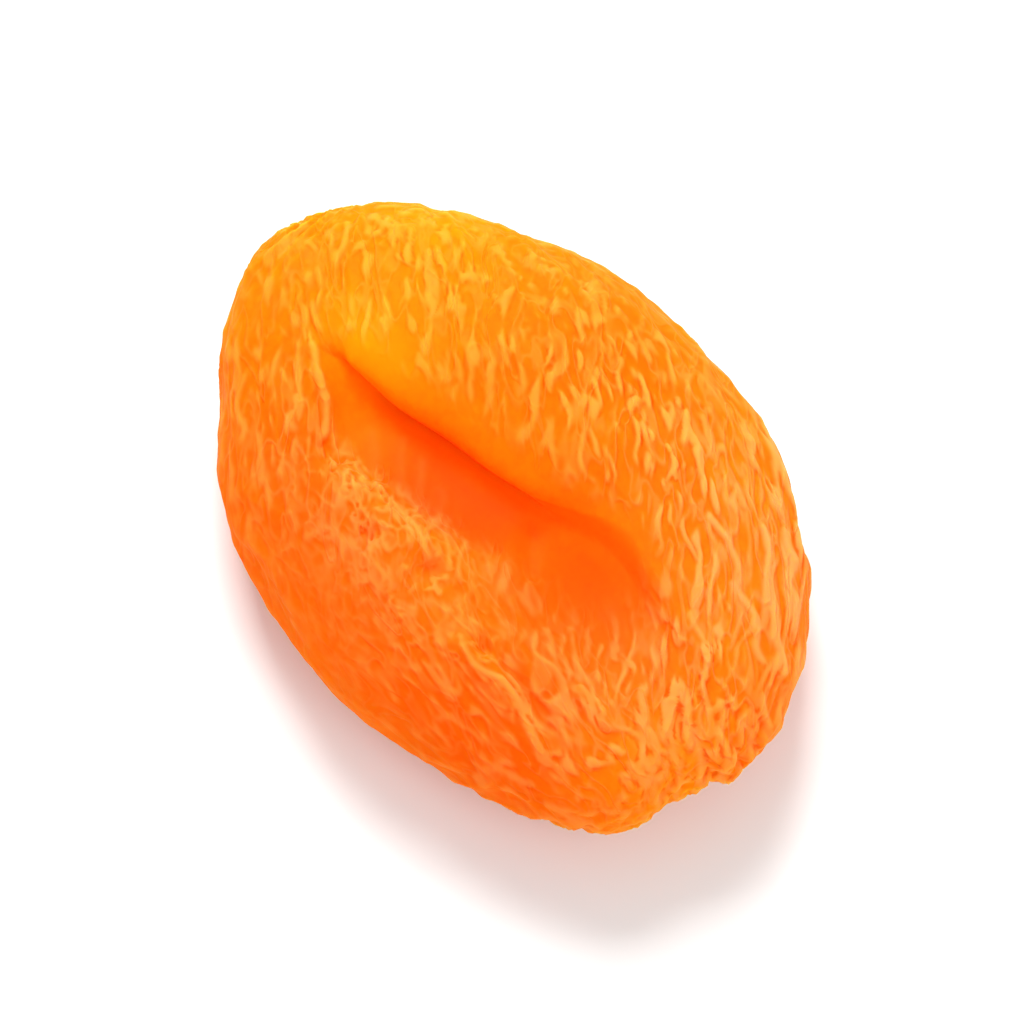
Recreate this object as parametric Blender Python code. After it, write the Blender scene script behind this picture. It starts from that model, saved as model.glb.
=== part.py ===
"""Dried apricot.

One whole pitted fruit, dried flat, lying with the collapsed fold of its pit upward. The blunt stem end
points to -X and the pinched tip to +X. The origin is on the ground under the middle of the fruit's length and
width, on the flat spot it rests on. Lengths are in millimetres up to the last step, which turns them into
metres.
"""
import math

import bmesh
import bpy
import numpy as np
from mathutils import Vector, noise

MM = 0.001

# Size of the fruit
FRUIT_LENGTH = 45.6
FRUIT_WIDTH = 32.1
RIM_HEIGHT = 5.6
RIM_WAVE = 0.7
RIM_PHASE = 0.8
RIM_TILT = 0.3
FACE_RISE = 5.6
REST_SINK = 0.14
SECTION_POWER = 2.35
SECTION_REACH = 19.2
CORNER_STEPS = 600
GRID_CUTS = 31

# Plan: degrees round the fruit, share of the radius, spread in degrees
PLAN_SWELLS = (
    (180, 0.020, 18),
    (133, -0.072, 22),
    (-137, -0.055, 23),
    (-104, -0.020, 12),
    (-70, -0.032, 17),
    (-29, 0.026, 9),
    (-14, -0.030, 7),
    (-4.5, -0.018, 2.2),
    (2, 0.016, 5),
    (12, 0.030, 8),
    (10, -0.046, 22),
    (77, 0.022, 9),
    (101, -0.020, 8),
    (44, -0.020, 15),
)

# Swells of the upper face: centre x, centre y, spread x, spread y, height
FACE_SWELLS = (
    (-3.0, 8.5, 15.0, 5.5, 1.9),
    (-1.0, -10.0, 15.0, 5.5, 0.9),
    (-16.0, 3.0, 5.0, 6.0, 0.6),
)

# Swells of the lower face, negative where it is drawn up
UNDER_SWELLS = (
    (-13.0, -6.5, 4.5, 3.0, -0.8),
    (12.5, 7.0, 5.0, 3.0, -0.9),
    (14.0, -5.0, 3.5, 3.0, -0.5),
)
SUTURE_DEPTH = 0.9
SUTURE_WIDTH = 1.3
SUTURE_SLOPE = -0.05

# The fold where the pit came out: its depth, its line, and where it opens and closes along x
FOLD_DEPTH = 2.9
FOLD_MIDDLE = -0.2
FOLD_SLOPE = 0.25
FOLD_STEP = 1.7
FOLD_STEPS = (1.5, 8.0)
FOLD_WAVE = 0.08
FOLD_WAVE_TURNS = 0.9
FOLD_BEND = 0.38
FOLD_BENDS_AT = 6.0
FOLD_OPENS = (-15.8, -8.5)
FOLD_CLOSES = (-6.0, 8.0)
FLOOR_NARROW = 1.0
FLOOR_SPREAD = 4.9
FLOOR_SPREADS = (-15.0, -7.5)
FLOOR_TILT = 0.55
FLOOR_EDGE = (0.70, 1.25)
WALL_REACH = 6.0
WALL_POWER = 5.0
WALL_ALONG = 7.6
WALL_FADE = 6.0
LIP_OVERHANG = 0.7
LIP_POWER = 1.5
LIP_SPREAD = 2.2
LEAN_DEPTH = 1.5
DISH = (8.5, 0.0, 6.5, 4.2, 2.4)
DISH_SHARE = 0.75
DISH_EDGE = (-0.4, 1.2)

# Single ridges, negative for a groove: from x, y to x, y, spread, height
RIDGES = (
    (-14.7, -4.1, -11.5, -5.4, 0.6, 0.40),
    (-11.5, -5.4, -9.8, -7.0, 0.6, 0.45),
    (6.6, -9.0, 9.9, -8.5, 0.6, 0.50),
    (9.9, -8.5, 14.8, -9.1, 0.6, 0.55),
    (9.2, -7.4, 13.8, -7.6, 0.6, -0.40),
    (3.2, -0.8, 5.2, -2.6, 0.7, -0.35),
    (13.4, -5.0, 16.0, -4.7, 0.5, 0.35),
)

# Single pits: centre x, centre y, spread, depth
PITS = (
    (1.7, -7.4, 0.9, 0.6),
    (-2.3, -8.9, 0.7, 0.45),
    (7.7, -8.0, 0.6, 0.5),
)

# Unevenness of the flesh, and the wrinkles of the skin
LUMP_SIZES = (9.0, 5.0)
LUMP_HEIGHTS = (0.32, 0.16)
LUMP_SHIFTS = ((3.1, 0.0, 7.0), (0.0, 5.2, 1.0))
TIP_DEGREES = -24.0
LEAST_GIRTH = 0.16
GRAIN_STRETCH = 3.0
GRAIN_DRIFT = 1.2
DRIFT_SIZE = 7.0
DRIFT_SHIFTS = ((1.7, 2.0, 9.0), (4.0, 1.7, 5.0), (8.0, 1.0, 1.7))
WRINKLE_SPACING = 2.6
WRINKLE_SHIFT = (1.7, 1.2, 3.0)
WRINKLE_HEIGHT = 0.70
WRINKLE_LEVEL = 0.30
WRINKLE_LOW = -0.40
WRINKLE_HIGH = 0.30
WRINKLE_CALM = 0.45
CALM_HEIGHTS = (6.0, 9.0)
REST_SMOOTH = (0.02, 0.8)

# Smooth skin in the fold: its share, its two ends along x, and its edges on the floor and on the lip
SMOOTH_SHARE = 0.9
SMOOTH_START = (-16.0, -13.0)
SMOOTH_END = (8.0, 14.0)
SMOOTH_FLOOR = (0.5, 0.9)
SMOOTH_LIP = (1.2, 3.0)

COLOUR = (0.93, 0.28, 0.02, 1.0)
ROUGHNESS = 0.42


def bump(value, centre, spread):
    return np.exp(-(((value - centre) / spread) ** 2))


def smoothstep(value, low, high):
    t = np.clip((value - low) / (high - low), 0, 1)
    return t * t * (3 - 2 * t)


def angle_gap(angle, centre):
    return (angle - centre + math.pi) % (2 * math.pi) - math.pi


def sphere_grid(cuts):
    """Unit directions of a cube's grid blown up to a sphere, and its quads."""
    bm = bmesh.new()
    bmesh.ops.create_cube(bm, size=2.0)
    bmesh.ops.subdivide_edges(bm, edges=bm.edges[:], cuts=cuts - 1, use_grid_fill=True)
    bm.verts.index_update()
    cube = np.array([vert.co for vert in bm.verts])
    quads = np.array([[vert.index for vert in face.verts] for face in bm.faces])
    bm.free()
    square = cube**2
    directions = np.empty_like(cube)
    for axis in range(3):
        one, two = square[:, (axis + 1) % 3], square[:, (axis + 2) % 3]
        directions[:, axis] = cube[:, axis] * np.sqrt(1 - one / 2 - two / 2 + one * two / 3)
    return directions / np.linalg.norm(directions, axis=1)[:, None], quads


def rounded_corner(share, power, reach_length, height_length):
    """Reach and height, 0 to 1, at even steps along a superellipse's quarter from its top to its side."""
    turn = np.linspace(0, math.pi / 2, CORNER_STEPS)
    reach = np.sin(turn) ** (2 / power)
    height = np.cos(turn) ** (2 / power)
    step = np.hypot(np.diff(reach) * reach_length, np.diff(height) * height_length)
    along = np.concatenate([[0], np.cumsum(step)])
    wanted = share * along[-1]
    return np.interp(wanted, along, reach), np.interp(wanted, along, height)


def plan_share(angle):
    """Share of the plain ellipse's radius at each angle of the plan."""
    share = np.ones_like(angle)
    for degrees, amount, spread in PLAN_SWELLS:
        share += amount * bump(angle_gap(angle, math.radians(degrees)), 0, math.radians(spread))
    return share


def swells(rows, x, y):
    total = np.zeros_like(x)
    for centre_x, centre_y, spread_x, spread_y, height in rows:
        total += height * bump(x, centre_x, spread_x) * bump(y, centre_y, spread_y)
    return total


def fold_line(x):
    step = FOLD_STEP * smoothstep(x, *FOLD_STEPS) - FOLD_BEND * np.logaddexp(0, x - FOLD_BENDS_AT)
    return FOLD_MIDDLE + FOLD_SLOPE * x + step + FOLD_WAVE * np.sin(FOLD_WAVE_TURNS * x)


def floor_width(x):
    return FLOOR_NARROW + FLOOR_SPREAD * smoothstep(x, *FLOOR_SPREADS)


def fold(x, y):
    """Depth of the fold below the domed face, and how far its upper lip leans over the floor."""
    depth = FOLD_DEPTH * smoothstep(x, *FOLD_OPENS) * (1 - smoothstep(x, *FOLD_CLOSES))
    t = y - fold_line(x)
    away = np.clip(-t / floor_width(x), 0, 2)
    floor = (1 - FLOOR_TILT * away) * (1 - smoothstep(away, *FLOOR_EDGE))
    share = 1 - np.clip(t / WALL_ALONG, 0, 1)
    back, rise = rounded_corner(share, WALL_POWER, WALL_REACH, FOLD_DEPTH)
    wall_lean = np.clip(t, 0, WALL_ALONG) - WALL_REACH * (1 - back) - LIP_OVERHANG * (1 - rise) ** LIP_POWER
    wall_lean *= 1 - smoothstep(t, WALL_ALONG, WALL_ALONG + WALL_FADE)
    floor_lean = -LIP_OVERHANG * bump(t, 0, LIP_SPREAD)
    lean = np.where(t > 0, wall_lean, floor_lean) * smoothstep(depth, 0, LEAN_DEPTH)
    dish = swells((DISH,), x, y) * (1 - DISH_SHARE * smoothstep(t, *DISH_EDGE))
    return depth * np.where(t < 0, floor, 1 - rise) + dish, lean


def marks(x, y):
    """Height of the single ridges less the depth of the single grooves and pits."""
    raised = np.zeros_like(x)
    sunk = np.zeros_like(x)
    for x1, y1, x2, y2, spread, height in RIDGES:
        length = math.hypot(x2 - x1, y2 - y1)
        along = ((x - x1) * (x2 - x1) + (y - y1) * (y2 - y1)) / length**2
        nearest = np.clip(along, 0, 1)
        gap = np.hypot(x - x1 - nearest * (x2 - x1), y - y1 - nearest * (y2 - y1))
        mark = height * bump(gap, 0, spread)
        raised = np.maximum(raised, mark)
        sunk = np.minimum(sunk, mark)
    for centre_x, centre_y, spread, depth in PITS:
        sunk -= depth * bump(np.hypot(x - centre_x, y - centre_y), 0, spread)
    return raised + sunk


def spread_out(directions):
    """Plan x and y of each direction, its reach from middle to rim, and its share of the full height."""
    angle = np.arctan2(directions[:, 1], directions[:, 0])
    polar = np.arccos(np.clip(directions[:, 2], -1, 1)) / (math.pi / 2)
    from_pole = np.where(polar <= 1, polar, 2 - polar)
    reach, height = rounded_corner(from_pole, SECTION_POWER, SECTION_REACH, RIM_HEIGHT)
    x = FRUIT_LENGTH / 2 * reach * np.cos(angle) * plan_share(angle)
    y = FRUIT_WIDTH / 2 * reach * np.sin(angle) * plan_share(angle)
    return x, y, reach, height


def body(directions):
    """The fruit without its wrinkles."""
    x, y, reach, height = spread_out(directions)
    angle = np.arctan2(directions[:, 1], directions[:, 0])
    upper = directions[:, 2] >= 0
    wave = RIM_WAVE * np.cos(2 * angle + RIM_PHASE) + RIM_TILT * np.cos(3 * angle)
    rim = RIM_HEIGHT + wave * reach**2
    depth, lean = fold(x, y)
    face = rim + FACE_RISE * height + (swells(FACE_SWELLS, x, y) + marks(x, y) - depth) * np.sqrt(height)
    suture = SUTURE_DEPTH * bump(y, SUTURE_SLOPE * x, SUTURE_WIDTH)
    drawn_up = (suture - swells(UNDER_SWELLS, x, y)) * np.sqrt(height)
    under = rim - (RIM_HEIGHT + REST_SINK) * height
    under += drawn_up * smoothstep(under, *REST_SMOOTH)
    return np.stack([x, y - np.where(upper, lean, 0), np.where(upper, face, under)], axis=1)


def normals(points, quads):
    one, two, three, four = (points[quads[:, corner]] for corner in range(4))
    facing = np.cross(three - one, four - two)
    total = np.zeros_like(points)
    for corner in range(4):
        for axis in range(3):
            total[:, axis] += np.bincount(quads[:, corner], facing[:, axis], len(points))
    return total / np.linalg.norm(total, axis=1)[:, None]


def soft_noise(points, size, shift):
    moved = points / size + np.array(shift)
    return np.array([noise.noise(Vector(point)) for point in moved])


def lumps(points):
    """Broad unevenness of the dried flesh."""
    total = np.zeros(len(points))
    for size, height, shift in zip(LUMP_SIZES, LUMP_HEIGHTS, LUMP_SHIFTS):
        total += height * soft_noise(points, size, shift)
    return total


def grain_noise(points):
    """Noise drawn out along the grain, which runs from the stem end to the tip and closes up there."""
    turn = math.radians(TIP_DEGREES)
    along = points @ np.array([math.cos(turn), math.sin(turn), 0])
    across = points @ np.array([-math.sin(turn), math.cos(turn), 0])
    girth = np.sqrt(np.clip(1 - (along / (FRUIT_LENGTH / 2)) ** 2, LEAST_GIRTH, 1))
    laid = np.stack([along / GRAIN_STRETCH, across / girth, (points[:, 2] - RIM_HEIGHT) / girth], axis=1)
    for axis, shift in enumerate(DRIFT_SHIFTS):
        laid[:, axis] += GRAIN_DRIFT * soft_noise(points, DRIFT_SIZE, shift)
    return soft_noise(laid, WRINKLE_SPACING, WRINKLE_SHIFT)


def smooth_skin(points):
    """1 in the fold's smooth floor and on its lip, 0 on wrinkled skin."""
    x, y = points[:, 0], points[:, 1]
    t = y - fold_line(x)
    inside = smoothstep(x, *SMOOTH_START) * (1 - smoothstep(x, *SMOOTH_END))
    floor = 1 - smoothstep(-t / floor_width(x), *SMOOTH_FLOOR)
    lip = 1 - smoothstep(t, *SMOOTH_LIP)
    return inside * np.where(t < 0, floor, lip) * (points[:, 2] > RIM_HEIGHT / 2)


def wrinkles(points):
    height = np.clip(WRINKLE_LEVEL - np.abs(grain_noise(points)), WRINKLE_LOW, WRINKLE_HIGH)
    height *= WRINKLE_HEIGHT * (1 - WRINKLE_CALM * smoothstep(points[:, 2], *CALM_HEIGHTS))
    return height * (1 - SMOOTH_SHARE * smooth_skin(points)) * smoothstep(points[:, 2], *REST_SMOOTH)


def fruit(directions, quads):
    """Points of the whole fruit, resting on the ground with its middle over the origin."""
    points = body(directions)
    points += normals(points, quads) * lumps(points)[:, None]
    points += normals(points, quads) * wrinkles(points)[:, None]
    points[:, 2] = np.maximum(points[:, 2], 0)
    points[:, :2] -= (points[:, :2].min(axis=0) + points[:, :2].max(axis=0)) / 2
    return points


def clear_scene():
    for thing in list(bpy.data.objects):
        bpy.data.objects.remove(thing)


def skin_material():
    material = bpy.data.materials.new("apricot_skin")
    material.use_nodes = True
    shader = material.node_tree.nodes["Principled BSDF"]
    shader.inputs["Base Color"].default_value = COLOUR
    shader.inputs["Roughness"].default_value = ROUGHNESS
    shader.inputs["Metallic"].default_value = 0.0
    return material


def main():
    clear_scene()
    directions, quads = sphere_grid(GRID_CUTS)
    points = fruit(directions, quads) * MM
    mesh = bpy.data.meshes.new("dried_apricot")
    mesh.from_pydata(points.tolist(), [], quads.tolist())
    mesh.shade_smooth()
    mesh.materials.append(skin_material())
    apricot = bpy.data.objects.new("dried_apricot", mesh)
    collection = bpy.data.collections.new("dried_apricot")
    bpy.context.scene.collection.children.link(collection)
    collection.objects.link(apricot)


main()
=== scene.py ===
import math

import bmesh
import bpy
import numpy as np
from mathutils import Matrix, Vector, noise


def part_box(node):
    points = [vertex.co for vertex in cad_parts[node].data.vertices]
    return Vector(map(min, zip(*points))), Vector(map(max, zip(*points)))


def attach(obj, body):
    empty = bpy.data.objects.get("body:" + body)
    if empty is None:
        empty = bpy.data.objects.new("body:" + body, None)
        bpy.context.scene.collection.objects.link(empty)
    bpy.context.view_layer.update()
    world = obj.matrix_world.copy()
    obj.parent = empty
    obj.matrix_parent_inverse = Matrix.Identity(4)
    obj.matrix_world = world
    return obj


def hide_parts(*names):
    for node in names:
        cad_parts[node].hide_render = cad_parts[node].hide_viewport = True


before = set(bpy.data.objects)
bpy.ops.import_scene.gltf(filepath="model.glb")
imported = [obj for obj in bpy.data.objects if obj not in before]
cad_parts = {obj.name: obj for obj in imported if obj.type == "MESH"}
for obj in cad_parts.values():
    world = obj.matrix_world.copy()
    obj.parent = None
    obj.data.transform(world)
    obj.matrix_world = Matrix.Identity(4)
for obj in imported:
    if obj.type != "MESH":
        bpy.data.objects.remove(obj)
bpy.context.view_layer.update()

MM = 0.001

# The form, which is the solid's on a finer grid. Size of the fruit, in millimetres
FRUIT_LENGTH = 45.6
FRUIT_WIDTH = 32.1
RIM_HEIGHT = 5.6
RIM_WAVE = 0.7
RIM_PHASE = 0.8
RIM_TILT = 0.3
FACE_RISE = 5.6
REST_SINK = 0.14
SECTION_POWER = 2.35
SECTION_REACH = 19.2
CORNER_STEPS = 600

# Plan: degrees round the fruit, share of the radius, spread in degrees
PLAN_SWELLS = (
    (180, 0.020, 18),
    (133, -0.072, 22),
    (-137, -0.055, 23),
    (-104, -0.020, 12),
    (-70, -0.032, 17),
    (-29, 0.026, 9),
    (-14, -0.030, 7),
    (-4.5, -0.018, 2.2),
    (2, 0.016, 5),
    (12, 0.030, 8),
    (10, -0.046, 22),
    (77, 0.022, 9),
    (101, -0.020, 8),
    (44, -0.020, 15),
    # the scallops of the tip
    (-1.2, 0.006, 1.6),
    (2.8, -0.011, 1.2),
    (7.6, -0.010, 1.1),
    (12.0, -0.006, 1.2),
)

# Swells of the upper face: centre x, centre y, spread x, spread y, height
FACE_SWELLS = (
    (-3.0, 8.5, 15.0, 5.5, 1.9),
    (-1.0, -10.0, 15.0, 5.5, 0.9),
    (-16.0, 3.0, 5.0, 6.0, 0.6),
)

# Swells of the lower face, negative where it is drawn up
UNDER_SWELLS = (
    (-13.0, -6.5, 4.5, 3.0, -0.8),
    (12.5, 7.0, 5.0, 3.0, -0.9),
    (14.0, -5.0, 3.5, 3.0, -0.5),
)
SUTURE_DEPTH = 0.9
SUTURE_WIDTH = 1.3
SUTURE_SLOPE = -0.05

# The fold where the pit came out: its depth, its line, and where it opens and closes along x
FOLD_DEPTH = 2.9
FOLD_MIDDLE = -0.2
FOLD_SLOPE = 0.25
FOLD_STEP = 1.7
FOLD_STEPS = (1.5, 8.0)
FOLD_WAVE = 0.08
FOLD_WAVE_TURNS = 0.9
FOLD_BEND = 0.38
FOLD_BENDS_AT = 6.0
FOLD_OPENS = (-15.8, -8.5)
FOLD_CLOSES = (-6.0, 8.0)
FLOOR_NARROW = 1.0
FLOOR_SPREAD = 4.9
FLOOR_SPREADS = (-15.0, -7.5)
FLOOR_TILT = 0.55
FLOOR_EDGE = (0.70, 1.25)
WALL_REACH = 6.0
WALL_POWER = 5.0
WALL_ALONG = 7.6
WALL_FADE = 6.0
LIP_OVERHANG = 0.7
LIP_POWER = 1.5
LIP_SPREAD = 2.2
LEAN_DEPTH = 1.5
DISH = (8.5, 0.0, 6.5, 4.2, 2.4)
DISH_SHARE = 0.75
DISH_EDGE = (-0.4, 1.2)

# Single ridges, negative for a groove: from x, y to x, y, spread, height
RIDGES = (
    (-14.7, -4.1, -11.5, -5.4, 0.6, 0.40),
    (-11.5, -5.4, -9.8, -7.0, 0.6, 0.45),
    (6.6, -9.0, 9.9, -8.5, 0.6, 0.50),
    (9.9, -8.5, 14.8, -9.1, 0.6, 0.55),
    (9.2, -7.4, 13.8, -7.6, 0.6, -0.40),
    (3.2, -0.8, 5.2, -2.6, 0.7, -0.35),
    (13.4, -5.0, 16.0, -4.7, 0.5, 0.35),
)

# Single pits: centre x, centre y, spread, depth
PITS = (
    (1.7, -7.4, 0.9, 0.6),
    (-2.3, -8.9, 0.7, 0.45),
    (7.7, -8.0, 0.6, 0.5),
)

# Unevenness of the flesh, and the wrinkles of the skin
LUMP_SIZES = (9.0, 5.0)
LUMP_HEIGHTS = (0.32, 0.16)
LUMP_SHIFTS = ((3.1, 0.0, 7.0), (0.0, 5.2, 1.0))
TIP_DEGREES = -24.0
LEAST_GIRTH = 0.16
GRAIN_STRETCH = 3.0
GRAIN_DRIFT = 1.2
DRIFT_SIZE = 7.0
DRIFT_SHIFTS = ((1.7, 2.0, 9.0), (4.0, 1.7, 5.0), (8.0, 1.0, 1.7))
WRINKLE_SPACING = 2.6
WRINKLE_SHIFT = (1.7, 1.2, 3.0)
WRINKLE_HEIGHT = 0.70
WRINKLE_LEVEL = 0.30
WRINKLE_LOW = -0.40
WRINKLE_HIGH = 0.30
WRINKLE_CALM = 0.45
CALM_HEIGHTS = (6.0, 9.0)
REST_SMOOTH = (0.02, 0.8)

# Smooth skin in the fold: its share, its two ends along x, and its edges on the floor and the lip
SMOOTH_SHARE = 0.9
SMOOTH_START = (-16.0, -13.0)
SMOOTH_END = (8.0, 14.0)
SMOOTH_FLOOR = (0.5, 0.9)
SMOOTH_LIP = (1.2, 3.0)

# The finer grid, and how far it leans to the upper half
FINE_CUTS = 128
GRID_LEAN = 0.42

# Fine crests of the skin, in millimetres and degrees
CREST_DEGREES = -36.0
CREST_HEIGHT = 0.27
CREST_LEVELS = (0.05, 0.50)
CREST_SPREAD = 0.6
CREST_DRIFT = 0.45
CREST_DRIFT_SIZE = 1.9
CREST_DRIFT_SHIFTS = (0.0, 4.0, 8.0)
# levels at which painted shade darkens the troughs between crests
CAVITY_LEVELS = (0.01, 0.11)

# The place in the noise that each shift picks
NOISE_SLANT = 0.7
NOISE_LEVEL = 3.0

# Long crests: spacing, stretch, turn in degrees, shift of the noise, share of the height
LONG_LAYERS = (
    (0.56, 5.0, -5, 3.3, 1.0),
    (0.47, 4.4, 7, 9.1, 0.85),
)

# Short crests: spacing, stretch, turn in degrees, length, shift of the noise, share of the height
SHORT_LAYERS = (
    (0.70, 1.9, -16, 1.4, 4.4, 0.62),
    (0.60, 1.6, 18, 1.2, 8.7, 0.56),
)
SHORT_WIDTH = (0.0, 0.36)
SHORT_BREAKS = (-0.40, 0.0)

# Crests that follow the rim: spacing, stretch, shift of the noise, share of the height
RING_LAYERS = (
    (0.52, 6.5, 2.1, 1.0),
    (0.45, 5.5, 6.4, 0.9),
)
RING_ARC = 20.0
RING_BLEND = (0.55, 0.90)

# Where the crests follow the rim: centre x, centre y, spread x, spread y, amount
RING_PLACES = (
    (14.0, 9.0, 9.0, 9.0, 1.3),
    (0.0, 18.0, 12.0, 6.0, 0.6),
)

# Crests that run in to a dimple: centre x, centre y, reach
PUCKERS = (
    (1.7, -7.4, 3.2),
    (7.7, -8.0, 2.0),
)
PUCKER_TURNS = 3.0
PUCKER_CHANGE = 0.6
PUCKER_HEIGHT = 0.5
PUCKER_FADE = 0.4
PUCKER_EYE = 0.8

# Single long crests: from x, y to x, y, width, share of the height
STROKES = (
    (-14.7, -4.1, -13.0, -4.8, 0.22, 0.6),
    (-13.0, -4.8, -11.5, -5.4, 0.26, 0.8),
    (-11.5, -5.4, -9.8, -7.0, 0.26, 0.7),
    (6.8, -9.0, 8.2, -9.0, 0.24, 0.55),
    (8.2, -9.0, 9.9, -8.5, 0.26, 0.65),
    (9.9, -8.5, 11.5, -8.4, 0.28, 0.7),
    (11.5, -8.4, 13.1, -8.6, 0.26, 0.6),
    (13.1, -8.6, 14.8, -9.1, 0.22, 0.45),
    (9.8, -5.3, 12.3, -5.6, 0.22, 0.5),
    (12.3, -5.6, 13.6, -6.3, 0.22, 0.5),
    (13.4, -5.0, 16.0, -4.7, 0.22, 0.5),
    (16.0, -4.7, 19.2, -3.0, 0.22, 0.5),
    # pleats of the tip
    (21.3, 3.4, 19.9, 4.3, 0.26, 0.6),
    (22.3, 1.6, 21.2, 2.2, 0.24, 0.5),
    (22.3, -0.4, 20.2, 0.5, 0.24, 0.6),
    (21.7, -1.9, 19.2, -0.7, 0.22, 0.55),
    (21.4, -3.3, 19.3, -2.6, 0.24, 0.55),
    (21.1, -5.0, 19.6, -4.2, 0.22, 0.45),
    # long crests by the rim
    (9.1, 8.5, 11.4, 8.6, 0.26, 0.7),
    (11.4, 8.6, 13.0, 7.7, 0.26, 0.6),
    (11.4, 10.8, 13.0, 10.5, 0.28, 0.7),
    (13.0, 10.5, 14.7, 9.0, 0.28, 0.75),
    (14.7, 9.0, 17.0, 7.4, 0.28, 0.75),
    (17.0, 7.4, 19.4, 6.4, 0.28, 0.7),
    (12.3, 12.0, 13.7, 11.4, 0.26, 0.7),
    (13.7, 11.4, 15.2, 10.2, 0.28, 0.75),
    (15.2, 10.2, 16.8, 9.3, 0.28, 0.75),
    (13.7, 7.0, 15.8, 6.8, 0.26, 0.6),
    (15.8, 6.8, 18.1, 5.6, 0.26, 0.6),
    (13.6, 3.6, 15.2, 3.1, 0.22, 0.5),
    (15.2, 3.1, 16.4, 2.9, 0.22, 0.5),
    # the scalloped edge of the fold's floor
    (-3.8, -6.5, -1.5, -6.2, 0.24, 0.5),
    (-1.5, -6.2, 1.0, -6.8, 0.24, 0.5),
    (2.6, -6.6, 0.4, -4.9, 0.20, 0.4),
    (3.4, -6.4, 1.6, -4.4, 0.20, 0.4),
    # faint streaks across the fold's floor
    (-6.6, -3.2, -4.6, -5.2, 0.50, 0.15),
    (-4.8, -2.9, -2.4, -4.9, 0.50, 0.17),
    (-8.2, -4.2, -6.2, -5.6, 0.45, 0.15),
    (-2.6, -3.0, -0.6, -4.6, 0.45, 0.15),
    (4.6, -3.0, 6.4, -4.6, 0.40, 0.16),
    (3.4, -3.6, 5.2, -5.4, 0.40, 0.17),
)

# Where the crests stand high: centre x, centre y, spread x, spread y, amount
CREST_BASE = 0.35
CREST_PLACES = (
    (-2.0, 8.0, 8.0, 5.0, 0.3),
    (10.0, 12.0, 9.0, 6.0, 0.38),
    (19.0, 1.0, 6.0, 7.0, 0.5),
    (14.0, -4.0, 5.0, 4.0, 0.2),
    (3.0, -8.0, 11.0, 6.0, 0.45),
    (-9.0, -8.0, 6.0, 4.0, 0.30),
    (-15.0, 2.0, 6.0, 6.0, 0.22),
    (8.0, -2.5, 6.0, 3.0, -0.25),
    (10.0, -13.0, 9.0, 4.0, -0.1),
    (17.0, -9.0, 5.0, 4.0, 0.1),
)

# Where the crests lie at a slant to the grain: centre x, centre y, spread x, spread y, amount
SLANT_DEGREES = 30.0
SLANT_PLACES = (
    (9.0, -12.0, 10.0, 6.0, 1.3),
    (18.0, -6.0, 5.0, 4.0, 0.7),
)

# Where the crests are short: centre x, centre y, spread x, spread y, amount
SHORT_PLACES = (
    (-2.0, -9.5, 10.0, 6.5, 0.9),
)

# The skin's share of red, and places with more or less of it; more red, mostly towards the bottom, is
# painted shade, and less red, on the upper left and at the lip by the stem end, is painted light:
# centre x, centre y, spread x, spread y, amount
RED_BASE = 0.26
RED_PLACES = (
    (-14.0, 3.0, 8.0, 7.0, -0.24),
    (-11.0, -1.6, 4.0, 2.0, -0.24),
    (-8.0, -9.0, 8.0, 5.0, 0.30),
    (3.0, -13.5, 13.0, 5.0, 0.34),
    (16.0, -10.0, 6.0, 4.0, 0.22),
    (12.0, 11.0, 7.0, 5.0, 0.05),
    (-8.0, 6.0, 5.0, 3.0, 0.08),
    (12.0, -6.0, 6.0, 5.0, 0.18),
    (4.0, -3.6, 4.0, 2.2, 0.22),
)

# How the reds fade out under the rim, by the height of the direction from the middle
UNDER_FADE = (-0.75, 0.05)

# The red of the dish at the fold's end, painted shade in the dish, a place as above
DISH_SHADE_RED = (8.5, 0.0, 7.0, 4.5, 0.55)

# The red of the fold's floor, painted shade of the deep fold and of the lip's shadow: its two ends
# along x, and its edges on the floor and under the lip
HOLLOW_START = (-13.4, -2.0)
HOLLOW_END = (0.0, 12.0)
HOLLOW_FLOOR = (0.6, 1.3)
HOLLOW_LIP = (1.0, 2.5)
LEAST_LEAN = 0.2

# The light that comes through the lip: how far under it, and out from it
GLOW_EDGE = (0.3, 1.8)

# Where the crests and the skin turn paler, partly with dry bloom and partly with painted sheen:
# centre x, centre y, spread x, spread y, amount
BLOOM_AND_SHEEN_PLACES = (
    (13.0, 10.0, 10.0, 9.0, 1.0),
    (16.0, -3.0, 7.0, 7.0, 0.5),
    (-1.0, -9.0, 8.0, 5.0, 0.45),
)

# Where golden light is painted, on the lit upper left, at the lip by the stem end, and along the thin
# rim at the tip and the bottom where light comes through: centre x, centre y, spread x, spread y,
# amount
GOLD_LIGHT_PLACES = (
    (-12.0, -1.0, 4.0, 2.0, 0.6),
    (-15.0, 7.0, 6.0, 6.0, 0.30),
    (21.0, -3.0, 4.0, 4.0, 0.8),
    (18.0, -9.0, 5.0, 4.0, 0.3),
    (4.0, -16.0, 14.0, 2.0, 0.25),
)

# Colours of the skin, and of what lies over it
ORANGE = (0.97, 0.175, 0.001)
BRIGHT_ORANGE = (0.97, 0.205, 0.001)
SPECK = (0.97, 0.12, 0.001)
# painted shade: the fold's floor, the lip's shadow, the dish and the lower parts of the skin
RED = (0.97, 0.064, 0.001)
# painted light that comes through the lip, against the lip's shadow
GLOW = (0.99, 0.145, 0.001)
# painted light, golden
GOLD_LIGHT = (0.98, 0.30, 0.001)
# paler skin, partly dry bloom and partly painted sheen
PALE = (0.99, 0.28, 0.02)
# the crests' colours: painted sheen over their paler dry skin
CREST = (0.99, 0.32, 0.025)
CREST_PALE = (1.0, 0.37, 0.10)
CREST_RED = (1.0, 0.19, 0.04)
# painted shade in the troughs between crests
CAVITY_SHADE = (0.78, 0.085, 0.001)

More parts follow.
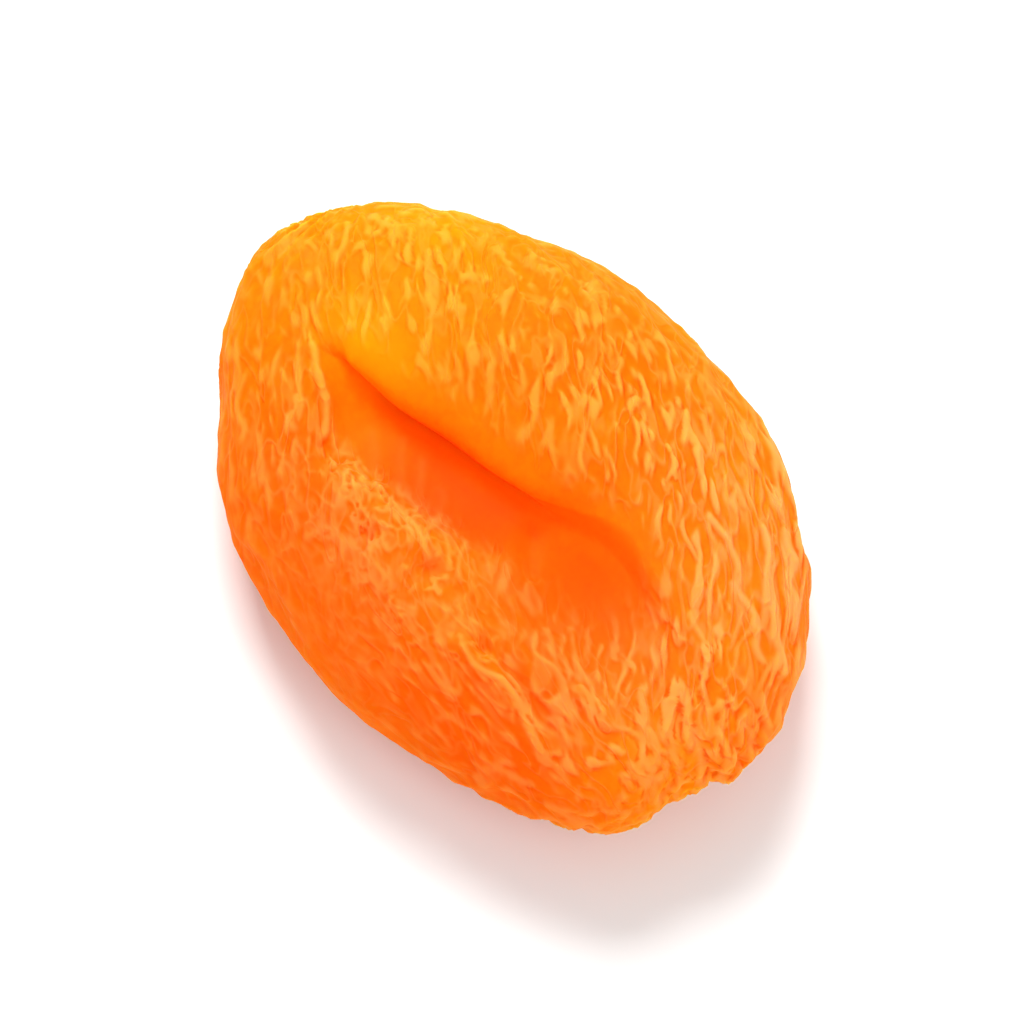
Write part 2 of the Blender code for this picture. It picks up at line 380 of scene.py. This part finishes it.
# How much of each shows where it is strongest
SPECK_SHARE = 0.25
PALE_SHARE = 0.15
STRAND_SHARE = 0.50
CREST_SHARE = 0.88
CAVITY_SHARE = 0.95
CREST_SHOWS = (0.03, 0.65)

# Texture of the colours: noise scales for each metre, and the noise's middle level
MOTTLE_SCALE = 90
SPECK_SCALE = 1400
MOTTLE_DETAIL = 2.0
MOTTLE_LEVELS = (0.35, 0.65)
NOISE_MIDDLE = 0.5

# Thin strands along the grain: noise scale and detail, width, twist, stretch, and how far they
# stand out
STRAND_SCALE = 760
STRAND_DETAIL = 1.0
STRAND_WIDTH = 0.11
STRAND_TWIST = 1.0
STRAND_STRETCH = 3.0
STRAND_BUMP = 0.8
STRAND_DEPTH = 0.00014

# How the skin takes light
SKIN_LIGHT = {
    "Roughness": 0.5,
    "IOR": 1.42,
    "Specular IOR Level": 0.015,
    "Subsurface Weight": 0.85,
    "Subsurface Radius": (1.0, 0.22, 0.05),
    "Subsurface Scale": 0.004,
}

# The camera: degrees round and above the fruit, and distances in metres
VIEW_AZIMUTH = 52.0
VIEW_ELEVATION = 70.0
VIEW_TARGET = (0.0006, 0.0, 0.0055)
VIEW_DISTANCE = 0.530
LENS_MM = 300.0
CLIP_START = 0.01

# Lights: towards them in image right, image up and zenith; width, distance, power
KEY_LIGHT = ((-0.15, 1.0, 1.05), 0.16, 0.30, 1.20)
FILL_LIGHT = ((0.4, -0.8, 1.0), 0.40, 0.50, 1.00)
SKY_COLOUR = (1.0, 1.0, 1.0, 1.0)
SKY_STRENGTH = 0.60

# The ground: its side in metres, colour and roughness
GROUND_SIZE = 3.0
GROUND_COLOUR = (0.88, 0.88, 0.87, 1.0)
GROUND_ROUGHNESS = 0.7


def bump(value, centre, spread):
    return np.exp(-(((value - centre) / spread) ** 2))


def smoothstep(value, low, high):
    t = np.clip((value - low) / (high - low), 0, 1)
    return t * t * (3 - 2 * t)


def angle_gap(angle, centre):
    return (angle - centre + math.pi) % (2 * math.pi) - math.pi


def sphere_grid(cuts):
    """Unit directions of a cube's grid blown up to a sphere, and its quads."""
    bm = bmesh.new()
    bmesh.ops.create_cube(bm, size=2.0)
    bmesh.ops.subdivide_edges(bm, edges=bm.edges[:], cuts=cuts - 1, use_grid_fill=True)
    bm.verts.index_update()
    cube = np.array([vert.co for vert in bm.verts])
    quads = np.array([[vert.index for vert in face.verts] for face in bm.faces])
    bm.free()
    square = cube**2
    directions = np.empty_like(cube)
    for axis in range(3):
        one, two = square[:, (axis + 1) % 3], square[:, (axis + 2) % 3]
        directions[:, axis] = cube[:, axis] * np.sqrt(1 - one / 2 - two / 2 + one * two / 3)
    return directions / np.linalg.norm(directions, axis=1)[:, None], quads


def rounded_corner(share, power, reach_length, height_length):
    """Reach and height, 0 to 1, at even steps along a superellipse's quarter from top to side."""
    turn = np.linspace(0, math.pi / 2, CORNER_STEPS)
    reach = np.sin(turn) ** (2 / power)
    height = np.cos(turn) ** (2 / power)
    step = np.hypot(np.diff(reach) * reach_length, np.diff(height) * height_length)
    along = np.concatenate([[0], np.cumsum(step)])
    wanted = share * along[-1]
    return np.interp(wanted, along, reach), np.interp(wanted, along, height)


def plan_share(angle):
    """Share of the plain ellipse's radius at each angle of the plan."""
    share = np.ones_like(angle)
    for degrees, amount, spread in PLAN_SWELLS:
        share += amount * bump(angle_gap(angle, math.radians(degrees)), 0, math.radians(spread))
    return share


def swells(rows, x, y):
    total = np.zeros_like(x)
    for centre_x, centre_y, spread_x, spread_y, height in rows:
        total += height * bump(x, centre_x, spread_x) * bump(y, centre_y, spread_y)
    return total


def fold_line(x):
    step = FOLD_STEP * smoothstep(x, *FOLD_STEPS) - FOLD_BEND * np.logaddexp(0, x - FOLD_BENDS_AT)
    return FOLD_MIDDLE + FOLD_SLOPE * x + step + FOLD_WAVE * np.sin(FOLD_WAVE_TURNS * x)


def floor_width(x):
    return FLOOR_NARROW + FLOOR_SPREAD * smoothstep(x, *FLOOR_SPREADS)


def fold(x, y):
    """Depth of the fold below the domed face, and how far its upper lip leans over the floor."""
    depth = FOLD_DEPTH * smoothstep(x, *FOLD_OPENS) * (1 - smoothstep(x, *FOLD_CLOSES))
    t = y - fold_line(x)
    away = np.clip(-t / floor_width(x), 0, 2)
    floor = (1 - FLOOR_TILT * away) * (1 - smoothstep(away, *FLOOR_EDGE))
    share = 1 - np.clip(t / WALL_ALONG, 0, 1)
    back, rise = rounded_corner(share, WALL_POWER, WALL_REACH, FOLD_DEPTH)
    wall_lean = np.clip(t, 0, WALL_ALONG) - WALL_REACH * (1 - back)
    wall_lean -= LIP_OVERHANG * (1 - rise) ** LIP_POWER
    wall_lean *= 1 - smoothstep(t, WALL_ALONG, WALL_ALONG + WALL_FADE)
    floor_lean = -LIP_OVERHANG * bump(t, 0, LIP_SPREAD)
    lean = np.where(t > 0, wall_lean, floor_lean) * smoothstep(depth, 0, LEAN_DEPTH)
    dish = swells((DISH,), x, y) * (1 - DISH_SHARE * smoothstep(t, *DISH_EDGE))
    return depth * np.where(t < 0, floor, 1 - rise) + dish, lean


def marks(x, y):
    """Height of the single ridges less the depth of the single grooves and pits."""
    raised = np.zeros_like(x)
    sunk = np.zeros_like(x)
    for x1, y1, x2, y2, spread, height in RIDGES:
        length = math.hypot(x2 - x1, y2 - y1)
        along = ((x - x1) * (x2 - x1) + (y - y1) * (y2 - y1)) / length**2
        nearest = np.clip(along, 0, 1)
        gap = np.hypot(x - x1 - nearest * (x2 - x1), y - y1 - nearest * (y2 - y1))
        mark = height * bump(gap, 0, spread)
        raised = np.maximum(raised, mark)
        sunk = np.minimum(sunk, mark)
    for centre_x, centre_y, spread, depth in PITS:
        sunk -= depth * bump(np.hypot(x - centre_x, y - centre_y), 0, spread)
    return raised + sunk


def spread_out(directions):
    """Plan x and y of each direction, its reach from middle to rim, and its share of full height."""
    angle = np.arctan2(directions[:, 1], directions[:, 0])
    polar = np.arccos(np.clip(directions[:, 2], -1, 1)) / (math.pi / 2)
    from_pole = np.where(polar <= 1, polar, 2 - polar)
    reach, height = rounded_corner(from_pole, SECTION_POWER, SECTION_REACH, RIM_HEIGHT)
    x = FRUIT_LENGTH / 2 * reach * np.cos(angle) * plan_share(angle)
    y = FRUIT_WIDTH / 2 * reach * np.sin(angle) * plan_share(angle)
    return x, y, reach, height


def body(directions):
    """The fruit without its wrinkles."""
    x, y, reach, height = spread_out(directions)
    angle = np.arctan2(directions[:, 1], directions[:, 0])
    upper = directions[:, 2] >= 0
    wave = RIM_WAVE * np.cos(2 * angle + RIM_PHASE) + RIM_TILT * np.cos(3 * angle)
    rim = RIM_HEIGHT + wave * reach**2
    depth, lean = fold(x, y)
    drawn_down = depth - swells(FACE_SWELLS, x, y) - marks(x, y)
    face = rim + FACE_RISE * height - drawn_down * np.sqrt(height)
    suture = SUTURE_DEPTH * bump(y, SUTURE_SLOPE * x, SUTURE_WIDTH)
    drawn_up = (suture - swells(UNDER_SWELLS, x, y)) * np.sqrt(height)
    under = rim - (RIM_HEIGHT + REST_SINK) * height
    under += drawn_up * smoothstep(under, *REST_SMOOTH)
    return np.stack([x, y - np.where(upper, lean, 0), np.where(upper, face, under)], axis=1)


def normals(points, quads):
    one, two, three, four = (points[quads[:, corner]] for corner in range(4))
    facing = np.cross(three - one, four - two)
    total = np.zeros_like(points)
    for corner in range(4):
        for axis in range(3):
            total[:, axis] += np.bincount(quads[:, corner], facing[:, axis], len(points))
    return total / np.linalg.norm(total, axis=1)[:, None]


def soft_noise(points, size, shift):
    moved = points / size + np.array(shift)
    return np.array([noise.noise(Vector(point)) for point in moved])


def lumps(points):
    """Broad unevenness of the dried flesh."""
    total = np.zeros(len(points))
    for size, height, shift in zip(LUMP_SIZES, LUMP_HEIGHTS, LUMP_SHIFTS):
        total += height * soft_noise(points, size, shift)
    return total


def grain_noise(points):
    """Noise drawn out along the grain, which runs from stem end to tip and closes up there."""
    turn = math.radians(TIP_DEGREES)
    along = points @ np.array([math.cos(turn), math.sin(turn), 0])
    across = points @ np.array([-math.sin(turn), math.cos(turn), 0])
    girth = np.sqrt(np.clip(1 - (along / (FRUIT_LENGTH / 2)) ** 2, LEAST_GIRTH, 1))
    above = points[:, 2] - RIM_HEIGHT
    laid = np.stack([along / GRAIN_STRETCH, across / girth, above / girth], axis=1)
    for axis, shift in enumerate(DRIFT_SHIFTS):
        laid[:, axis] += GRAIN_DRIFT * soft_noise(points, DRIFT_SIZE, shift)
    return soft_noise(laid, WRINKLE_SPACING, WRINKLE_SHIFT)


def smooth_skin(points):
    """1 in the fold's smooth floor and on its lip, 0 on wrinkled skin."""
    x, y = points[:, 0], points[:, 1]
    t = y - fold_line(x)
    inside = smoothstep(x, *SMOOTH_START) * (1 - smoothstep(x, *SMOOTH_END))
    floor = 1 - smoothstep(-t / floor_width(x), *SMOOTH_FLOOR)
    lip = 1 - smoothstep(t, *SMOOTH_LIP)
    return inside * np.where(t < 0, floor, lip) * (points[:, 2] > RIM_HEIGHT / 2)


def wrinkles(points):
    height = np.clip(WRINKLE_LEVEL - np.abs(grain_noise(points)), WRINKLE_LOW, WRINKLE_HIGH)
    height *= WRINKLE_HEIGHT * (1 - WRINKLE_CALM * smoothstep(points[:, 2], *CALM_HEIGHTS))
    height *= 1 - SMOOTH_SHARE * smooth_skin(points)
    return height * smoothstep(points[:, 2], *REST_SMOOTH)


def fine_grid():
    """The sphere's grid moved up, so that more of it lies on the upper half."""
    directions, quads = sphere_grid(FINE_CUTS)
    directions[:, 2] += GRID_LEAN * (1 - directions[:, 2] ** 2)
    return directions / np.linalg.norm(directions, axis=1)[:, None], quads


def around(values, quads):
    """Mean of the values at each point's neighbours."""
    total = np.zeros(len(values))
    count = np.zeros(len(values))
    for corner in range(4):
        for step in (1, 3):
            neighbours = values[quads[:, (corner + step) % 4]]
            total += np.bincount(quads[:, corner], neighbours, len(values))
            count += np.bincount(quads[:, corner], minlength=len(values))
    return total / count


def triangles(quads, values):
    """Each quad split along the diagonal that carries on the ridge or groove of the values."""
    stands_out = (values - around(values, quads))[quads].sum(axis=1) > 0
    one, two, three, four = values[quads].T
    first_is_higher = one + three > two + four
    turned = np.where((stands_out == first_is_higher)[:, None], quads, np.roll(quads, -1, axis=1))
    return np.concatenate([turned[:, [0, 1, 2]], turned[:, [0, 2, 3]]])


def placed_noise(points, size, shift):
    """Noise from the place that the shift picks."""
    return soft_noise(points, size, (shift, NOISE_SLANT * shift, NOISE_LEVEL))


def drifted(points):
    """The points moved about a little, so that what is laid over them wavers."""
    moves = [placed_noise(points, CREST_DRIFT_SIZE, shift) for shift in CREST_DRIFT_SHIFTS]
    return points + CREST_DRIFT * np.stack(moves, axis=1)


def along_grain(points, turn, stretch):
    """The points laid so that noise over them is drawn out along the grain."""
    way = math.radians(CREST_DEGREES + turn)
    along = points @ np.array([math.cos(way), math.sin(way), 0])
    across = points @ np.array([-math.sin(way), math.cos(way), 0])
    return np.stack([along / stretch, across, points[:, 2]], axis=1)


def long_crests(points, slant):
    """Share of a full crest, on long crests that lie along the grain or at a slant to it."""
    most = np.zeros(len(points))
    for spacing, stretch, turn, shift, share in LONG_LAYERS:
        level = placed_noise(along_grain(points, turn + slant, stretch), spacing, shift)
        most = np.maximum(most, share * smoothstep(level, *CREST_LEVELS))
    return most


def short_crests(points):
    """Share of a full crest, on thin ridges that wander and are broken into short lengths."""
    most = np.zeros(len(points))
    for spacing, stretch, turn, length, shift, share in SHORT_LAYERS:
        level = placed_noise(along_grain(points, turn, stretch), spacing, shift)
        ridge = 1 - smoothstep(np.abs(level), *SHORT_WIDTH)
        kept = smoothstep(placed_noise(points, length, -shift), *SHORT_BREAKS)
        most = np.maximum(most, share * ridge * kept)
    return most


def ring_crests(points, from_pole):
    """Share of a full crest, on crests that follow the rim."""
    ring = np.hypot(points[:, 0], points[:, 1])
    most = np.zeros(len(points))
    for spacing, stretch, shift, share in RING_LAYERS:
        turns = points[:, :2] / ring[:, None] * RING_ARC / stretch
        level = placed_noise(np.column_stack([turns, RING_ARC * from_pole]), spacing, shift)
        most = np.maximum(most, share * smoothstep(level, *CREST_LEVELS))
    return most


def stroke_crests(points):
    """Share of a full crest on the single long crests."""
    most = np.zeros(len(points))
    for x1, y1, x2, y2, width, share in STROKES:
        x, y = points[:, 0] - x1, points[:, 1] - y1
        along_x, along_y = x2 - x1, y2 - y1
        nearest = np.clip((x * along_x + y * along_y) / (along_x**2 + along_y**2), 0, 1)
        gap = np.hypot(x - nearest * along_x, y - nearest * along_y)
        most = np.maximum(most, share * bump(gap, 0, width))
    return most * (points[:, 2] > RIM_HEIGHT)


def pucker_crests(points):
    """Share of a full crest on those that run in to the dimples, and how far they displace others."""
    most = np.zeros(len(points))
    place = np.zeros(len(points))
    for centre_x, centre_y, reach in PUCKERS:
        x, y = points[:, 0] - centre_x, points[:, 1] - centre_y
        away = np.hypot(x, y)
        turn = np.arctan2(y, x)
        laid = np.stack([np.cos(turn), np.sin(turn), PUCKER_CHANGE * away], axis=1)
        level = placed_noise(laid, 1 / PUCKER_TURNS, centre_x)
        here = (1 - smoothstep(away, PUCKER_FADE * reach, reach)) * (points[:, 2] > RIM_HEIGHT)
        outside = smoothstep(away, 0, PUCKER_EYE)
        most += PUCKER_HEIGHT * smoothstep(level, *CREST_LEVELS) * outside * here
        place += here
    return most, place


def share_of(rows, points):
    """Sum of the rows' places at each point, kept between 0 and 1."""
    return np.clip(swells(rows, points[:, 0], points[:, 1]), 0, 1)


def crests(points, directions):
    """Share of a full crest at each point, and how wrinkled the skin is."""
    moved = drifted(points)
    from_pole = np.arccos(np.clip(directions[:, 2], -1, 1)) / (math.pi / 2)
    drift = np.hypot(moved[:, 0], moved[:, 1]) - np.hypot(points[:, 0], points[:, 1])
    from_pole += drift / RING_ARC
    near_rim = 1 - np.abs(1 - from_pole)
    ringed = smoothstep(near_rim, *RING_BLEND) * share_of(RING_PLACES, points)
    slanted = share_of(SLANT_PLACES, points)
    high = long_crests(moved, 0) * (1 - slanted) + long_crests(moved, SLANT_DEGREES) * slanted
    short = share_of(SHORT_PLACES, points)
    high = high * (1 - short) + short_crests(moved) * short
    high = high * (1 - ringed) + ring_crests(moved, from_pole) * ringed
    puckered, place = pucker_crests(moved)
    high = high * (1 - place) + puckered
    wrinkled = np.clip(CREST_BASE + swells(CREST_PLACES, points[:, 0], points[:, 1]), 0, 1)
    wrinkled *= (1 - smooth_skin(points)) ** CREST_SPREAD * smoothstep(points[:, 2], *REST_SMOOTH)
    return np.maximum(high * wrinkled, stroke_crests(moved)), wrinkled


def reds(directions):
    """Share of red at each point, painted shade that is 1 in the fold's floor and under the lip, and
    of the glow through the lip, which is painted light.
    """
    x, y, _, _ = spread_out(directions)
    upper = directions[:, 2] >= 0
    t = y - fold_line(x)
    inside = smoothstep(x, *HOLLOW_START) * (1 - smoothstep(x, *HOLLOW_END)) * upper
    floor = 1 - smoothstep(-t / floor_width(x), *HOLLOW_FLOOR)
    leans = smoothstep(fold(x, y)[0], 0, LEAN_DEPTH)
    under_lip = 1 - smoothstep(t / np.maximum(leans, LEAST_LEAN), *HOLLOW_LIP)
    # painted shade in the fold's floor and under the lip
    hollow_shade = inside * np.where(t < 0, floor, under_lip)
    dish = swells((DISH_SHADE_RED,), x, y) * (1 - smoothstep(t, *DISH_EDGE))
    skin = RED_BASE + (swells(RED_PLACES, x, y) + dish) * smoothstep(directions[:, 2], *UNDER_FADE)
    # painted light through the lip, near the fold's crease
    glow = (1 - smoothstep(np.abs(t), *GLOW_EDGE)) * hollow_shade
    return np.maximum(np.clip(skin, 0, 1), hollow_shade), glow


def dressed_fruit(directions, quads):
    """Points of the fruit in metres, where the solid is, and the values that its colours follow."""
    points = body(directions)
    points += normals(points, quads) * lumps(points)[:, None]
    points += normals(points, quads) * wrinkles(points)[:, None]
    crest, wrinkled = crests(points, directions)
    crest = (crest + around(crest, quads)) / 2
    red, glow = reds(directions)
    values = {
        "crest": crest,
        # painted shade where a point lies below the crests around it
        "cavity_shade": smoothstep(around(crest, quads) - crest, *CAVITY_LEVELS) * wrinkled,
        "wrinkled": wrinkled,
        "slanted": share_of(SLANT_PLACES, points),
        "red": red,
        "glow": glow,
        "bloom_and_sheen": share_of(BLOOM_AND_SHEEN_PLACES, points),
        "gold_light": share_of(GOLD_LIGHT_PLACES, points) * (1 - red),
    }
    points += normals(points, quads) * (CREST_HEIGHT * crest)[:, None]
    points[:, 2] = np.maximum(points[:, 2], 0)
    points *= MM
    low, high = (np.array(corner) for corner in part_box("dried_apricot"))
    middle = (points.min(axis=0) + points.max(axis=0)) / 2
    points[:, :2] += ((low + high) / 2 - middle)[:2]
    return points, values


class Nodes:
    """A material's nodes, made and linked in short calls."""

    def __init__(self, name):
        self.material = bpy.data.materials.new(name)
        self.material.use_nodes = True
        self.tree = self.material.node_tree
        self.shader = self.tree.nodes["Principled BSDF"]

    def add(self, kind, **settings):
        node = self.tree.nodes.new(kind)
        for key, value in settings.items():
            setattr(node, key, value)
        return node

    def link(self, source, target):
        self.tree.links.new(source, target)

    def fill(self, target, value):
        """A socket takes another's output, a colour or a number."""
        if isinstance(value, bpy.types.NodeSocket):
            self.link(value, target)
        elif isinstance(value, tuple):
            target.default_value = (*value, 1.0)
        else:
            target.default_value = value

    def value(self, name):
        return self.add("ShaderNodeAttribute", attribute_name=name).outputs["Fac"]

    def noise(self, scale, detail, twist=0.0, stretch=1.0, slant=0.0):
        """Noise over the skin, drawn out by the stretch along the grain or at a slant to it."""
        laid = self.add("ShaderNodeMapping", vector_type="TEXTURE")
        laid.inputs["Rotation"].default_value = (0.0, 0.0, math.radians(CREST_DEGREES + slant))
        laid.inputs["Scale"].default_value = (stretch, 1.0, 1.0)
        self.link(self.add("ShaderNodeTexCoord").outputs["Object"], laid.inputs["Vector"])
        texture = self.add("ShaderNodeTexNoise")
        texture.inputs["Scale"].default_value = scale
        texture.inputs["Detail"].default_value = detail
        texture.inputs["Distortion"].default_value = twist
        self.link(laid.outputs["Vector"], texture.inputs["Vector"])
        return texture.outputs["Fac"]

    def worked_out(self, operation, *values):
        node = self.add("ShaderNodeMath", operation=operation)
        for socket, value in zip(node.inputs, values):
            self.fill(socket, value)
        return node.outputs["Value"]

    def strands(self, slant):
        """Thin strands that wander over the skin: 1 on a strand, 0 away from it."""
        level = self.noise(STRAND_SCALE, STRAND_DETAIL, STRAND_TWIST, STRAND_STRETCH, slant)
        away = self.worked_out("ABSOLUTE", self.worked_out("SUBTRACT", level, NOISE_MIDDLE))
        return self.ramp(away, 0.0, STRAND_WIDTH, 1.0, 0.0)

    def ramp(self, source, low, high, to_low=0.0, to_high=1.0):
        node = self.add("ShaderNodeMapRange", interpolation_type="SMOOTHSTEP")
        self.link(source, node.inputs["Value"])
        keys = ("From Min", "From Max", "To Min", "To Max")
        for key, number in zip(keys, (low, high, to_low, to_high)):
            node.inputs[key].default_value = number
        return node.outputs["Result"]

    def mix(self, share, one, two, kind="RGBA"):
        node = self.add("ShaderNodeMix", data_type=kind)
        self.link(share, node.inputs["Factor"])
        self.fill(node.inputs["A"], one)
        self.fill(node.inputs["B"], two)
        return node.outputs["Result"]

    def cover(self, colour, place, share, over):
        """The colour with another over it, which is as strong as its place, up to its share."""
        return self.mix(self.ramp(place, 0.0, 1.0, 0.0, share), colour, over)


def skin_colour(nodes):
    """Colour of the skin under its crests, with painted shade in its reds, painted light in its glow
    and its golden places, and painted sheen over paler dry bloom.
    """
    mottle = nodes.ramp(nodes.noise(MOTTLE_SCALE, MOTTLE_DETAIL), *MOTTLE_LEVELS)
    colour = nodes.mix(mottle, ORANGE, BRIGHT_ORANGE)
    specks = nodes.ramp(nodes.noise(SPECK_SCALE, MOTTLE_DETAIL), *MOTTLE_LEVELS)
    colour = nodes.cover(colour, specks, SPECK_SHARE, SPECK)
    colour = nodes.mix(nodes.value("red"), colour, RED)
    colour = nodes.mix(nodes.value("glow"), colour, GLOW)
    # painted golden light
    colour = nodes.mix(nodes.value("gold_light"), colour, GOLD_LIGHT)
    return nodes.cover(colour, nodes.value("bloom_and_sheen"), PALE_SHARE, PALE)


# Colour of the crests: painted sheen over their paler dry skin, paler still on the right side and
# redder in the painted shade
def crest_colour(nodes):
    colour = nodes.mix(nodes.value("bloom_and_sheen"), CREST, CREST_PALE)
    return nodes.mix(nodes.value("red"), colour, CREST_RED)


def skin_material():
    nodes = Nodes("apricot_skin")
    shader = nodes.shader
    crest = crest_colour(nodes)
    along, slanted = nodes.strands(0), nodes.strands(SLANT_DEGREES)
    strands = nodes.mix(nodes.value("slanted"), along, slanted, "FLOAT")
    strands = nodes.worked_out("MULTIPLY", strands, nodes.value("wrinkled"))
    # the strands and the crests take the crests' colour, painted sheen
    colour = nodes.cover(skin_colour(nodes), strands, STRAND_SHARE, crest)
    shows = nodes.ramp(nodes.value("crest"), *CREST_SHOWS, 0.0, CREST_SHARE)
    colour = nodes.mix(shows, colour, crest)
    # painted shade in the troughs between crests
    colour = nodes.cover(colour, nodes.value("cavity_shade"), CAVITY_SHARE, CAVITY_SHADE)
    nodes.link(colour, shader.inputs["Base Color"])
    raised = nodes.add("ShaderNodeBump")
    raised.inputs["Strength"].default_value = STRAND_BUMP
    raised.inputs["Distance"].default_value = STRAND_DEPTH
    nodes.link(strands, raised.inputs["Height"])
    nodes.link(raised.outputs["Normal"], shader.inputs["Normal"])
    for name, setting in SKIN_LIGHT.items():
        shader.inputs[name].default_value = setting
    return nodes.material


def dress_apricot():
    directions, quads = fine_grid()
    points, values = dressed_fruit(directions, quads)
    mesh = bpy.data.meshes.new("apricot_skin")
    mesh.from_pydata(points.tolist(), [], triangles(quads, values["crest"]).tolist())
    mesh.shade_smooth()
    for name, numbers in values.items():
        attribute = mesh.attributes.new(name, "FLOAT", "POINT")
        attribute.data.foreach_set("value", numbers.astype(np.float32))
    mesh.materials.append(skin_material())
    skin = bpy.data.objects.new("apricot_skin", mesh)
    bpy.context.scene.collection.objects.link(skin)
    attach(skin, "root")
    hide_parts("dried_apricot")


def make_ground():
    bpy.ops.mesh.primitive_plane_add(size=GROUND_SIZE)
    ground = bpy.context.object
    ground.name = "ground"
    nodes = Nodes("ground_pale")
    nodes.shader.inputs["Base Color"].default_value = GROUND_COLOUR
    nodes.shader.inputs["Roughness"].default_value = GROUND_ROUGHNESS
    ground.data.materials.append(nodes.material)


def view_axes():
    """Image right and image up laid on the ground, and the zenith."""
    turn = math.radians(VIEW_AZIMUTH)
    right = Vector((math.cos(turn), math.sin(turn), 0.0))
    return right, Vector((-right.y, right.x, 0.0)), Vector((0.0, 0.0, 1.0))


def aim(thing, towards_it, distance):
    target = Vector(VIEW_TARGET)
    thing.location = target + towards_it * distance
    thing.rotation_mode = "QUATERNION"
    thing.rotation_quaternion = (-towards_it).to_track_quat("-Z", "Y")


def make_camera():
    data = bpy.data.cameras.new("camera")
    data.lens = LENS_MM
    data.clip_start = CLIP_START
    camera = bpy.data.objects.new("camera", data)
    bpy.context.scene.collection.objects.link(camera)
    _, up, zenith = view_axes()
    rise = math.radians(VIEW_ELEVATION)
    aim(camera, zenith * math.sin(rise) - up * math.cos(rise), VIEW_DISTANCE)
    bpy.context.scene.camera = camera


def make_light(name, towards, width, distance, power):
    data = bpy.data.lights.new(name, "AREA")
    data.size = width
    data.energy = power
    light = bpy.data.objects.new(name, data)
    light.visible_camera = False
    bpy.context.scene.collection.objects.link(light)
    way = sum((axis * share for axis, share in zip(view_axes(), towards)), Vector())
    aim(light, way.normalized(), distance)


def make_sky():
    world = bpy.data.worlds.new("sky")
    world.use_nodes = True
    background = world.node_tree.nodes["Background"]
    background.inputs["Color"].default_value = SKY_COLOUR
    background.inputs["Strength"].default_value = SKY_STRENGTH
    bpy.context.scene.world = world


dress_apricot()
make_ground()
make_camera()
make_light("key", *KEY_LIGHT)
make_light("fill", *FILL_LIGHT)
make_sky()
bpy.context.scene.view_settings.view_transform = "Standard"
